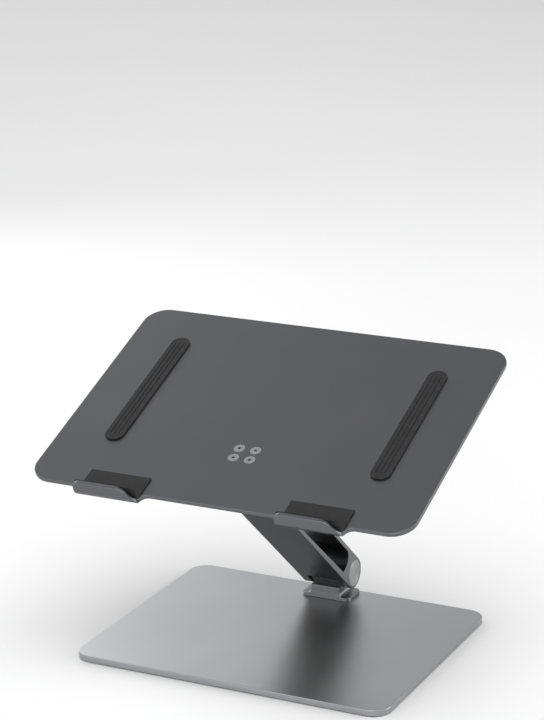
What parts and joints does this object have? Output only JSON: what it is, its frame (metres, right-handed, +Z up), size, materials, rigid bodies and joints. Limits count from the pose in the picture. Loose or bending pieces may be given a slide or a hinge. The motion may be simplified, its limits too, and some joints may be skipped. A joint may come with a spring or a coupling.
{
  "type": "laptop stand",
  "caption": "Folding desktop laptop stand: weighted flat base, one leaning hollow arm between two friction hinges, and a tilting tray with turned-up lips.",
  "frame": {"origin": "centre of the rubber sheet's underside, where the base rests on the desk", "axes": "+Z up, +X across the stand to the user's right, +Y to the back of the stand; the user sits on the -Y side"},
  "size_m": [0.2776, 0.2217, 0.2084],
  "materials": {
    "base_metal": "bead-blasted and anodised space grey, satin",
    "arm_metal": "bead-blasted and anodised space grey, satin",
    "tray_metal": "bead-blasted and anodised space grey, satin",
    "bracket_metal": "brushed across and anodised space grey",
    "cap_metal": "turned face, fine concentric lines",
    "steel": "zinc plated, dull",
    "bronze": "sintered bronze, oiled",
    "silicone": "matt black silicone"
  },
  "bodies": {
    "base": {"base_plate": "base_metal", "base_rubber_sheet": "silicone", "base_screws": "steel", "lower_hinge_bracket": "bracket_metal", "lower_hinge_bush": "bronze"},
    "arm": {"arm_body": "arm_metal", "lower_hinge_pin": "steel", "lower_friction_washers": "bronze", "lower_disc_springs": "steel", "lower_hinge_nut": "steel", "lower_cap_left": "cap_metal", "lower_cap_right": "cap_metal", "upper_hinge_pin": "steel", "upper_friction_washers": "bronze", "upper_disc_springs": "steel", "upper_hinge_nut": "steel", "upper_cap_left": "cap_metal", "upper_cap_right": "cap_metal"},
    "tray": {"tray_plate": "tray_metal", "upper_hinge_bracket": "bracket_metal", "upper_hinge_bush": "bronze", "tray_screws": "steel", "lip_liner_left": "silicone", "lip_liner_right": "silicone", "tray_pad_left": "silicone", "tray_pad_right": "silicone"}
  },
  "joints": [
    {"name": "arm_lift", "type": "hinge", "parent": "base", "child": "arm", "pos_m": [0, 0.0818, 0.0241], "axis": [1, 0, 0], "range_deg": [-50.8, 39.2]},
    {"name": "tray_tilt", "type": "hinge", "parent": "arm", "child": "tray", "pos_m": [0, -0.0542, 0.13502], "axis": [1, 0, 0], "range_deg": [-60.8, 40]}
  ]
}
